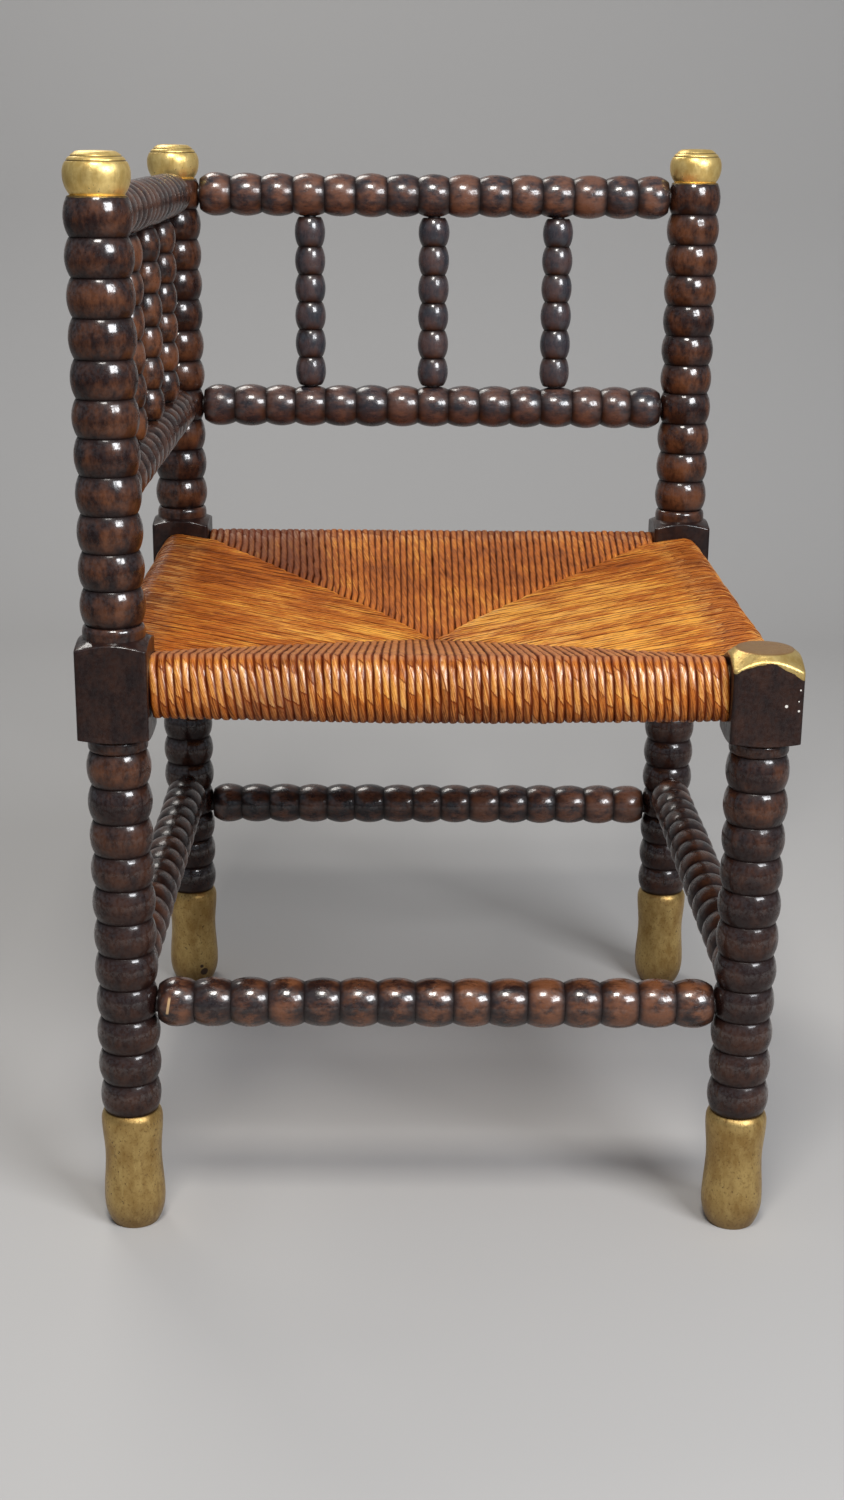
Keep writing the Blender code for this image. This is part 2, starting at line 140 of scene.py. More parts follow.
def finial_rows():
    """The bun finial, with u from 0 to 1 up its height, fullest at 0.49. Below that its radius is
    full * (1 - 0.20 * v ** 2.4), and above it full * sqrt(1 - 0.664 * v ** 2.1), with v from 0 to 1 away
    from the fullest place, up to a small domed flat. Two lines are scored round its shoulder."""
    fullest = 0.49
    u = np.linspace(0.0, 1.0, 64)
    below = np.maximum(0, (fullest - u) / fullest)
    above = np.maximum(0, (u - fullest) / (1 - fullest))
    scored = np.exp(-((u - 0.785) / 0.019) ** 2) + np.exp(-((u - 0.89) / 0.017) ** 2)
    radii = FINIAL_RADIUS * (1 - 0.20 * below ** 2.4) * np.sqrt(1 - 0.664 * above ** 2.1) - 0.00045 * scored
    flat = np.array([0.0100, 0.0070, 0.0040, 0.0012])
    side = plain_rows(FINIAL_BOTTOM + (FINIAL_HEIGHT - 0.0005) * u, radii, 0.8 - 0.8 * np.minimum(scored, 1))
    top = plain_rows(FINIAL_BOTTOM + FINIAL_HEIGHT - 3.0 * flat ** 2, flat, 0.8)
    return np.concatenate((side, top))


def tall_post_rows(hand):
    """Leg, block, ring, upper beads and finial, from the floor up. The ring is straight, and its top is
    rounded in by u ** 6."""
    block = block_rows(BLOCK_TOP, BLOCK_OVER_SLOPE, RING_RADIUS)
    u = np.linspace(0.0, 1.0, 12)[1:-1]
    ring_low = block[-1, 0]
    ring = plain_rows(ring_low + (RING_TOP - ring_low) * u, RING_RADIUS - 0.0020 * u ** 6, 0.75)
    beads = bead_run(RING_TOP, FINIAL_BOTTOM, UPPER_BEADS, POST_GROOVE, POST_CROWN, POST_ROUNDNESS, hand)
    return np.concatenate((leg_rows(hand), block, ring, beads, finial_rows()))


def short_post_rows(hand):
    """Leg and block, ended by a low flat-topped cone."""
    block = block_rows(SHORT_BLOCK_TOP, SHORT_CONE_SLOPE, 0.0182)
    flat = np.array([0.0174, 0.0165, 0.010, 0.002])
    lift = np.array([0.0003, 0.0004, 0.0004, 0.0004])
    return np.concatenate((leg_rows(hand), block, plain_rows(block[-1, 0] + lift, flat, 0.5)))


def corner_angles(count):
    """Angles round a post, gathered at the four corners of its block: a = u + 0.15 sin 4u."""
    u = 2 * np.pi * np.arange(count) / count
    return u + 0.15 * np.sin(4 * u)


def held_square(radii, angles):
    """Keeps a turned radius inside the square blank. The blank's reach at an angle is that of a square
    with eased corners, half * (|cos| ** 24 + |sin| ** 24) ** (-1/24), and the lesser of the two radii is
    taken with its edge worn round over about half a millimetre."""
    square = BLANK_HALF * (np.abs(np.cos(angles)) ** 24 + np.abs(np.sin(angles)) ** 24) ** (-1 / 24)
    worn = 0.0004
    return np.minimum(radii, square) - worn * np.log1p(np.exp(-np.abs(radii - square) / worn))


def turned(rows, start, along, across, angles, held=None):
    """Carries a profile round an axis. The point at row i and angle a is
    start + height_i * along + radius_i * (cos a * across + sin a * along x across)."""
    along = np.array(along, float)
    across = np.array(across, float)
    ring = np.cos(angles)[:, None] * across + np.sin(angles)[:, None] * np.cross(along, across)
    radii = np.repeat(rows[:, 1:2], len(angles), axis=1)
    if held:
        radii = held(radii, angles)
    return (np.array(start) + rows[:, None, :1] * along + radii[..., None] * ring)[None]


def skinned(name, rings, traits, lay=None):
    """A piece made of closed tubes. rings[k, i, j] is point j round ring i of tube k: quads join each
    ring to the next, and a flat cap closes both ends. Traits become point attributes, and lay, a pair of
    length along and turn round the tube, becomes the UV map."""
    tubes, rows, columns = rings.shape[:3]
    index = np.arange(tubes * rows * columns).reshape(tubes, rows, columns)
    after = np.roll(index, -1, axis=2)
    quads = np.stack((index[:, :-1], after[:, :-1], after[:, 1:], index[:, 1:]), axis=-1)
    caps = np.concatenate((index[:, 0, ::-1], index[:, -1]))
    mesh = bpy.data.meshes.new(name)
    mesh.from_pydata(rings.reshape(-1, 3), [], quads.reshape(-1, 4).tolist() + caps.tolist())
    for trait, values in traits.items():
        attribute = mesh.attributes.new(trait, "FLOAT", "POINT")
        values = np.broadcast_to(values, index.shape)
        attribute.data.foreach_set("value", values.astype(np.float32).ravel())
    if lay:
        length, turn = np.broadcast_arrays(*lay)
        step = 1.0 / columns
        corners = np.stack((
            np.stack((length[:, :-1], length[:, :-1], length[:, 1:], length[:, 1:]), axis=-1),
            np.stack((turn[:, :-1], turn[:, :-1] + step, turn[:, 1:] + step, turn[:, 1:]), axis=-1),
        ), axis=-1).reshape(-1, 2)
        ends = np.zeros((caps.size, 2))
        uv = mesh.uv_layers.new(name="lay")
        uv.data.foreach_set("uv", np.concatenate((corners, ends)).astype(np.float32).ravel())
    mesh.shade_smooth()
    mesh.set_sharp_from_angle(angle=math.radians(42))
    piece = bpy.data.objects.new(name, mesh)
    bpy.context.scene.collection.objects.link(piece)
    return piece


def turned_piece(node, rows, rings):
    """The turning for a CAD node, with the crown and tone of its rows as point attributes."""
    traits = {"crown": rows[None, :, None, 2], "tone": rows[None, :, None, 3]}
    return skinned("turned_" + node, rings, traits)


class Finish:
    """One value in a material's node tree. Arithmetic on it adds Math nodes, and node() any other node."""

    def __init__(self, tree, socket=None):
        self.tree = tree
        self.socket = socket

    def node(self, kind, sockets=None, output=0, **settings):
        """Adds a node: its settings first, then a value or a link for each named or numbered socket."""
        made = self.tree.nodes.new(kind)
        for setting, value in settings.items():
            setattr(made, setting, value)
        for key, value in (sockets or {}).items():
            if isinstance(value, Finish):
                self.tree.links.new(value.socket, made.inputs[key])
            else:
                made.inputs[key].default_value = value
        return Finish(self.tree, made.outputs[output])

    def maths(self, operation, first, second):
        """A Math node on two values. An operation on one value ignores the second."""
        return self.node("ShaderNodeMath", {0: first, 1: second}, operation=operation)

    def __add__(self, other):
        return self.maths("ADD", self, other)

    def __sub__(self, other):
        return self.maths("SUBTRACT", self, other)

    def __rsub__(self, other):
        return self.maths("SUBTRACT", other, self)

    def __mul__(self, other):
        return self.maths("MULTIPLY", self, other)

    __radd__ = __add__
    __rmul__ = __mul__

    def trait(self, name):
        """A point attribute of the piece."""
        return self.node("ShaderNodeAttribute", output="Fac", attribute_name=name)

    def part(self, axis):
        """One part of a vector: X, Y or Z."""
        return self.node("ShaderNodeSeparateXYZ", {0: self}, axis)

    def between(self, low, high):
        """Rises smoothly from 0 to 1 while the value goes from low to high."""
        sockets = {"Value": self, "From Min": low, "From Max": high}
        return self.node("ShaderNodeMapRange", sockets, interpolation_type="SMOOTHSTEP")

    def blend(self, first, second):
        """The first colour where the value is 0, and the second where it is 1."""
        return self.node("ShaderNodeMix", {0: self, 6: first, 7: second}, 2, data_type="RGBA")

    def noise(self, stretch, detail=3.0, roughness=0.55):
        """Noise over a vector, stretched along its three axes."""
        spread = self.node("ShaderNodeVectorMath", {0: self, 1: stretch}, operation="MULTIPLY")
        return self.node("ShaderNodeTexNoise", {"Vector": spread, "Scale": 1.0, "Detail": detail,
                                                "Roughness": roughness})


def new_finish(name):
    """A material, and a blank value to start its nodes from."""
    material = bpy.data.materials.new(name)
    material.use_nodes = True
    return material, Finish(material.node_tree)


def apply_finish(material, sockets):
    """Gives a material's shader its constants and its varying values."""
    shader = material.node_tree.nodes["Principled BSDF"]
    for key, value in sockets.items():
        if isinstance(value, Finish):
            material.node_tree.links.new(value.socket, shader.inputs[key])
        else:
            shader.inputs[key].default_value = value


STAIN_DARK = (0.0085, 0.0037, 0.0037, 1)
STAIN_BROWN = (0.0310, 0.0112, 0.0076, 1)
STAIN_RUBBED_AND_LIT = (0.150, 0.054, 0.0220, 1)
STAIN_AND_SHADE_IN_GROOVES = (0.0085, 0.0040, 0.0038, 1)


def along_grain(grain_axis, along, across):
    """How a pattern is stretched when its grain runs along one axis."""
    return [along if axis == grain_axis else across for axis in range(3)]


def stained_wood(start, grain_axis, rubbing_and_light):
    """Colour, roughness, relief and gloss of polished dark stain: soft clouds of brown in near black,
    redder and lighter on the crowns, where the stain is worn thin and light is painted on, darker towards
    the grooves and black in them, from stain held there and painted shade, with short fine pores. The
    gloss is broken where the wax has worn off in spots, and cut on faces turned sideways and down as
    painted shade."""
    place = start.node("ShaderNodeTexCoord", output="Object")
    crown = start.trait("crown")
    tone = start.trait("tone")
    clouds = place.noise(along_grain(grain_axis, 64.0, 95.0), 5.0, 0.64)
    streaks = place.noise(along_grain(grain_axis, 170.0, 420.0), 3.0, 0.55)
    pores = place.noise(along_grain(grain_axis, 260.0, 1200.0), 2.0)
    waves = place.noise([210.0, 210.0, 210.0], 3.0, 0.55)
    shade = clouds * 0.84 + streaks * 0.16
    # Darker towards the grooves as the crown falls: stain, and painted shade on the turned form
    colour = (shade.between(0.26, 0.70) * (0.35 + crown * 0.65)).blend(STAIN_DARK, STAIN_BROWN)
    # Lighter and redder on the crowns: stain worn thin there, and painted light
    rubbed = (shade + tone * 0.16).between(0.44, 0.80) * crown
    colour = (rubbed * rubbing_and_light).blend(colour, STAIN_RUBBED_AND_LIT)
    open_pores = pores.between(0.60, 0.72)
    # Black in the grooves: stain held there, and painted shade
    dark = open_pores * 0.18 + (1 - crown.between(0.0, 0.55)) * 0.65
    colour = dark.blend(colour, STAIN_AND_SHADE_IN_GROOVES)
    roughness = 0.40 - crown * 0.14 + streaks.between(0.45, 0.70) * 0.10
    relief = waves * 1.5 + streaks * 0.20 - open_pores * 0.20
    worn_wax = place.noise([430.0, 430.0, 430.0], 3.0, 0.6)
    # Less coat on faces turned sideways and down: painted shade on the lower halves of the beads
    normal = start.node("ShaderNodeTexCoord", output="Normal")
    upward = normal.part("Z").between(-0.12, 0.30)
    gloss = crown.between(0.0, 0.5) * (0.25 + worn_wax.between(0.38, 0.56) * 0.75) * (0.22 + upward * 0.78)
    return place, crown, colour, roughness, relief, gloss


def polish(start, relief):
    """The wood's normal under its wax: a wavy hand-finished surface with open pores."""
    return start.node("ShaderNodeBump", {"Height": relief, "Strength": 0.5, "Distance": 0.0005})


def nearness(place, point, reach):
    """1 at a point, falling to 0 at a short reach from it."""
    away = place.node("ShaderNodeVectorMath", {0: place, 1: point}, "Value", operation="DISTANCE")
    return 1 - away.between(reach * 0.75, reach)


WOOD_IN_LOW_SHADE = (0.0155, 0.0066, 0.0056, 1)
GILT_SHADED = (0.70, 0.470, 0.145, 1)
GILT_BRIGHT = (0.88, 0.650, 0.250, 1)
GILT_BRUSHED = (0.66, 0.49, 0.20, 1)
GILT_WORN = (0.17, 0.075, 0.026, 1)
GILT_IN_LINES = (0.10, 0.055, 0.016, 1)
GILT_RUBBED_FLAT = (0.32, 0.155, 0.072, 1)
FOOT_GILT_DARK = (0.330, 0.200, 0.064, 1)
FOOT_GILT_LIGHT = (0.500, 0.345, 0.130, 1)
FOOT_PITS = (0.200, 0.110, 0.036, 1)
FOOT_TOE_DARK = (0.150, 0.085, 0.042, 1)
PALE_PAINT = (0.72, 0.68, 0.62, 1)


def gilded_post(name, gilt_mask, chips=(), specks=(), rubbed_flat=None):
    """Stained wood under bronze paint where the mask, a function of place and wander, says so. The paint
    is metallic and brushed on, with reddish wear in upright streaks. It is bright on the finials, and on
    the feet dull, pitted and darker towards the toe. Chips bare the wood, specks are dots of pale paint,
    and from the height of a worn flat the paint has gone brown. The legs are painted darker low down, as
    painted shade."""
    material, start = new_finish(name)
    place, crown, colour, roughness, relief, gloss = stained_wood(start, 2, 0.76)
    height = place.part("Z")
    # Painted shade: the wood is darker below the seat, where less light reaches
    kicked = 1 - height.between(0.22, 0.36)
    colour = (kicked * 0.70).blend(colour, WOOD_IN_LOW_SHADE)
    wander = place.noise([170.0, 170.0, 170.0], 3.0) - 0.5
    mottle = place.noise([130.0, 130.0, 80.0], 5.0, 0.68)
    blots = place.noise([62.0, 62.0, 40.0], 3.0)
    brushed = place.noise([240.0, 240.0, 70.0], 3.0)
    grit = place.noise([620.0, 620.0, 520.0], 2.0)
    wear = place.noise([150.0, 150.0, 22.0], 3.0)
    low_down = 1 - height.between(0.12, 0.20)
    gilt = gilt_mask(place, wander) * (1 - (grit + mottle * 0.4).between(0.89, 0.94) * 0.7)
    for point, reach in chips:
        gilt = gilt * (1 - nearness(place, point, reach) * 0.95)
    bright = mottle.between(0.34, 0.66).blend(GILT_SHADED, GILT_BRIGHT)
    dull = (mottle * 0.45 + blots * 0.55).between(0.36, 0.60).blend(FOOT_GILT_DARK, FOOT_GILT_LIGHT)
    dull = (grit.between(0.50, 0.68) * 0.45).blend(dull, FOOT_PITS)
    # Darker and browner towards the toe
    dull = ((1 - height.between(0.002, 0.026)) * 0.60).blend(dull, FOOT_TOE_DARK)
    gold = low_down.blend(bright, dull)
    gold = (brushed.between(0.54, 0.74) * 0.25).blend(gold, GILT_BRUSHED)
    gold = (wear.between(0.56, 0.74) * 0.18).blend(gold, GILT_WORN)
    gold = (1 - crown.between(0.05, 0.45)).blend(gold, GILT_IN_LINES)
    if rubbed_flat:
        gold = (height.between(rubbed_flat - 0.0006, rubbed_flat) * 0.80).blend(gold, GILT_RUBBED_FLAT)
    for point, reach in specks:
        colour = nearness(place, point, reach).blend(colour, PALE_PAINT)
    bump = relief * (1 - gilt) + gilt * (mottle * 1.5 + brushed * 0.5 + grit * 0.30)
    apply_finish(material, {
        "Base Color": gilt.blend(colour, gold),
        "Metallic": gilt * 0.75,
        "Roughness": roughness * (1 - gilt) + gilt * (0.28 + mottle * 0.16 + low_down * 0.04),
        "Specular IOR Level": 0.18,
        "Coat Weight": gloss * (1 - gilt),
        "Coat Roughness": 0.12,
        "Coat IOR": 1.75,
        "Normal": polish(start, bump),
    })
    return material


PAINT_WANDER = 0.0016


def foot_paint(height, wander):
    """Paint below the first leg groove, with an edge that wanders a little."""
    return 1 - (height + wander * PAINT_WANDER).between(FOOT_HEIGHT - 0.0002, FOOT_HEIGHT + 0.0004)


def feet_and_finials(place, wander):
    """Paint on the foot and from the last groove up, with a thin line on the bead below it."""
    height = place.part("Z")
    finial = (height + wander * PAINT_WANDER).between(FINIAL_BOTTOM - 0.0012, FINIAL_BOTTOM - 0.0006)
    return foot_paint(height, wander) + finial


def feet_and_short_cap(place, wander):
    """Paint on the foot and on the turned top of the short post, z + slope * radius above its shoulder,
    which has run down over the block's outer front corner."""
    height = place.part("Z")
    aside = place.part("X")
    axis = place.node("ShaderNodeCombineXYZ", {0: HALF_SPACING, 1: -HALF_SPACING, 2: height})
    radius = place.node("ShaderNodeVectorMath", {0: place, 1: axis}, "Value", operation="DISTANCE")
    run_down = aside.between(HALF_SPACING - 0.002, HALF_SPACING + BLANK_HALF) * 0.0042
    past_face = place.maths("MAXIMUM", radius, SHORT_FLAT_RADIUS) - BLANK_HALF
    rim = height + past_face * SHORT_CONE_SLOPE + wander * 0.0035 + run_down
    cap = rim.between(SHORT_BLOCK_TOP - 0.0012, SHORT_BLOCK_TOP - 0.0006)
    return foot_paint(height, wander) + cap


# Chips and specks are given by their middle and their reach
BACK_FOOT_CHIPS = (((-0.1945, 0.1880, 0.0110), 0.0042), ((-0.1965, 0.1868, 0.0165), 0.0026))
BLOCK_SPECKS = (((0.2155, -0.2265, 0.3727), 0.0011), ((0.2234, -0.2265, 0.3697), 0.0008),
                ((0.2238, -0.2265, 0.3832), 0.0006), ((0.2231, -0.2265, 0.3759), 0.0005))
SHORT_TOP = SHORT_BLOCK_TOP + SHORT_CONE_SLOPE * (BLANK_HALF - SHORT_FLAT_RADIUS)
tall_gilding = gilded_post("gilded_tall_post", feet_and_finials, BACK_FOOT_CHIPS)
short_gilding = gilded_post("gilded_short_post", feet_and_short_cap, (), BLOCK_SPECKS, SHORT_TOP)
post_nodes = ("post_front_left", "post_back_left", "post_back_right", "post_front_right")
for number, node in enumerate(post_nodes):
    short = node == "post_front_right"
    hand = np.random.default_rng(POST_SEED + number)
    rows = short_post_rows(hand) if short else tall_post_rows(hand)
    low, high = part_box(node)
    foot = ((low.x + high.x) / 2, (low.y + high.y) / 2, low.z)
    rings = turned(rows, foot, (0, 0, 1), (1, 0, 0), corner_angles(POST_COLUMNS), held_square)
    post = turned_piece(node, rows, rings)
    post.data.materials.append(short_gilding if short else tall_gilding)
    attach(post, "root")
    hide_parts(node)

# Stretchers, and the rails of the two open panels
# Rows of round beads turned on one bar of the same wood, each end drawn in to a round tenon that is
# glued into the posts. Two panels are open, over the back and the left side.

RAIL_BEADS = 15
RAIL_GROOVE = 0.0134
RAIL_CROWN = 0.0164
RAIL_ROUNDNESS = 0.88
RAIL_END = 0.0118
RAIL_SHOULDER = 0.1832
RAIL_TENON = 0.0069
TENON_SHOWN = 0.006
DRAWN_IN = 0.010
RAIL_COLUMNS = 48
RAIL_SEED = 60
BLUE_SHEEN = (0.060, 0.085, 0.115, 1)
BARED_WOOD = (0.56, 0.36, 0.18, 1)


def tenoned_rows(beads, shoulder, end_radius, tenon_radius):
    """A run of beads with its outer ends drawn in by the square of their nearness to the shoulder, and a
    tenon at both ends."""
    tip = shoulder + TENON_SHOWN
    near_end = np.maximum(0, np.abs(beads[:, 0]) - shoulder + DRAWN_IN) / DRAWN_IN
    beads[:, 1] -= (beads[0, 1] - end_radius) * near_end ** 2
    lower = plain_rows(np.array([-tip, -tip, -shoulder]), np.array([0.001, tenon_radius, tenon_radius]), 0.1)
    upper = plain_rows(np.array([shoulder, shoulder, tip, tip]),
                       np.array([end_radius, tenon_radius, tenon_radius, 0.001]), 0.1)
    return np.concatenate((lower, beads, upper))


def waxed_turning(name, grain_axis, rubbing_and_light, blue_sheen, wax=0.85, scratch=None):
    """Stained wood under a given amount of wax polish, with a bluish painted reflection laid on its crowns
    in a given strength. A scratch, given by its middle, bares the pale wood over a slanting line about a
    centimetre high."""
    material, start = new_finish(name)
    place, crown, colour, roughness, relief, gloss = stained_wood(start, grain_axis, rubbing_and_light)
    # Painted reflection: the crowns are blended towards a blue-grey, as if they mirrored a bluish room
    colour = (crown.between(0.2, 0.9) * blue_sheen).blend(colour, BLUE_SHEEN)
    if scratch:
        away = start.node("ShaderNodeVectorMath", {0: place, 1: scratch}, operation="SUBTRACT")
        aside = away.part("X")
        above = away.part("Z")
        ahead = away.part("Y")
        line = 1 - start.maths("ABSOLUTE", aside - above * 0.16, 0.0).between(0.0006, 0.0011)
        line = line * (1 - start.maths("ABSOLUTE", above, 0.0).between(0.0045, 0.0062))
        colour = (line * (1 - ahead.between(0.003, 0.006))).blend(colour, BARED_WOOD)
    apply_finish(material, {
        "Base Color": colour,
        "Roughness": roughness,
        "Specular IOR Level": 0.4,
        "Coat Weight": gloss * wax,
        "Coat Roughness": 0.12,
        "Coat IOR": 1.75,
        "Normal": polish(start, relief),
    })
    return material


SCRATCH = (-0.1757, -0.2197, 0.1640)
# These rail finishes are one wood in lighter and darker copies, set by how each rail stands to the light:
# painted light and shade, besides real wear
rail_finish = (waxed_turning("waxed_rail_across", 0, 1.60, 0.14, 0.70),
               waxed_turning("waxed_rail_deep", 1, 0.70, 0.02, 0.35))
own_finish = {"stretcher_front": waxed_turning("waxed_rail_scratched", 0, 1.60, 0.02, scratch=SCRATCH),
              "lower_rail_back": waxed_turning("waxed_rail_dark", 0, 0.95, 0.18, 0.70)}
rail_nodes = ("stretcher_front", "stretcher_back", "top_rail_back", "lower_rail_back",
              "stretcher_left", "stretcher_right", "top_rail_left", "lower_rail_left")
for number, node in enumerate(rail_nodes):
    low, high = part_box(node)
    middle = (low + high) / 2
    axis = 0 if high.x - low.x > high.y - low.y else 1
    hand = np.random.default_rng(RAIL_SEED + number)
    beads = bead_run(-RAIL_SHOULDER, RAIL_SHOULDER, RAIL_BEADS, RAIL_GROOVE, RAIL_CROWN, RAIL_ROUNDNESS, hand)
    rows = tenoned_rows(beads, RAIL_SHOULDER, RAIL_END, RAIL_TENON)
    along, across = (((1, 0, 0), (0, 1, 0)), ((0, 1, 0), (0, 0, 1)))[axis]
    angles = 2 * np.pi * np.arange(RAIL_COLUMNS) / RAIL_COLUMNS
    rings = turned(rows, middle, along, across, angles)
    rail = turned_piece(node, rows, rings)
    rail.data.materials.append(own_finish.get(node, rail_finish[axis]))
    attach(rail, "root")
    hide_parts(node)

# Spindles
# Three thinner beaded turnings of the same stained wood stand in each open panel, with small round tenons
# glued into the rail above and the rail below.

SPINDLE_BEADS = 6
SPINDLE_SHOULDER = 0.0652
SPINDLE_GROOVE = 0.0090
SPINDLE_CROWN = 0.0121
SPINDLE_ROUNDNESS = 0.78
SPINDLE_END = 0.0086
SPINDLE_TENON = 0.0049
SPINDLE_COLUMNS = 40
SPINDLE_SEED = 80

# The back and left spindles are one wood; their finishes differ by how they stand to the light, as painted
# light, shade and reflection
spindle_finish = {"back": waxed_turning("waxed_spindle_back", 2, 0.45, 0.26),
                  "left": waxed_turning("waxed_spindle_left", 2, 1.60, 0.0)}
spindle_nodes = [f"spindle_{side}_{number}" for side in ("back", "left") for number in (1, 2, 3)]
for number, node in enumerate(spindle_nodes):
    low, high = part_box(node)
    hand = np.random.default_rng(SPINDLE_SEED + number)
    beads = bead_run(-SPINDLE_SHOULDER, SPINDLE_SHOULDER, SPINDLE_BEADS, SPINDLE_GROOVE, SPINDLE_CROWN,
                     SPINDLE_ROUNDNESS, hand)
    rows = tenoned_rows(beads, SPINDLE_SHOULDER, SPINDLE_END, SPINDLE_TENON)
    angles = 2 * np.pi * np.arange(SPINDLE_COLUMNS) / SPINDLE_COLUMNS
    rings = turned(rows, (low + high) / 2, (0, 0, 1), (1, 0, 0), angles)
    spindle = turned_piece(node, rows, rings)
    spindle.data.materials.append(spindle_finish["back" if "back" in node else "left"])
    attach(spindle, "root")
    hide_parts(node)

# Seat rails
# Plain eased bars of pale unstained wood, tenoned into the blocks. The rush hides them, so they keep the
# solids' own shape and only get a bare, sawn finish.

SAWN_DARK = (0.30, 0.18, 0.085, 1)
SAWN_PALE = (0.48, 0.32, 0.17, 1)


def bare_wood(name):
    """Pale sawn wood with brown growth streaks."""
    material, start = new_finish(name)
    place = start.node("ShaderNodeTexCoord", output="Object")
    streaks = place.noise([120.0, 120.0, 260.0], 3.0)
    colour = streaks.between(0.35, 0.65).blend(SAWN_DARK, SAWN_PALE)
    apply_finish(material, {
        "Base Color": colour,
        "Roughness": 0.62 + streaks * 0.2,
        "Normal": start.node("ShaderNodeBump", {"Height": streaks, "Strength": 0.3, "Distance": 0.0004}),
    })
    return material


bare_rail = bare_wood("bare_seat_rail")
for side in ("front", "right", "back", "left"):
    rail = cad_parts["seat_rail_" + side]
    rail.data.materials.clear()
    rail.data.materials.append(bare_rail)

# Rush seat
# Two or three rush leaves are twisted into a strand, which is wound over the rails from corner to corner
# until four triangles of strands meet in the middle. Each strand wraps a rail, runs in along the top and
# dives under its neighbours at the diagonal. The whole seat is varnished a golden orange.

RAIL_HALF_HEIGHT = 0.015
RAIL_HALF_WIDTH = 0.0105
SEAT_MIDDLE_HEIGHT = BLOCK_BOTTOM + 0.0320
SEAT_DISH = 0.0405
SEAT_UNDER_DISH = 0.0131
PANEL_CROWN = 1.05
STRANDS = 70
STRAND_PITCH = 2 * (HALF_SPACING - BLANK_HALF - 0.0003) / STRANDS
STRAND_RADIUS = 0.0026
STRAND_SIDES = 12
STRAND_POWER = 2.8
STRAND_DEPTH = 0.85
WINDING_SLACK = 0.0005
WRAP_POWER = 2.8
RAKE_START = -0.006
UNDER_RINGS = 14
WRAP_RINGS = 28
TOP_RINGS = 70
TWIST_LENGTH = 0.080
LEAF_LENGTH = 0.020
LEAF_SLANT = 0.9
RUSH_SEED = 20


def ease(values, low, high):
    """Rises from 0 to 1 between two values, as 3 u ** 2 - 2 u ** 3."""
    u = np.clip((values - low) / (high - low), 0, 1)
    return u * u * (3 - 2 * u)


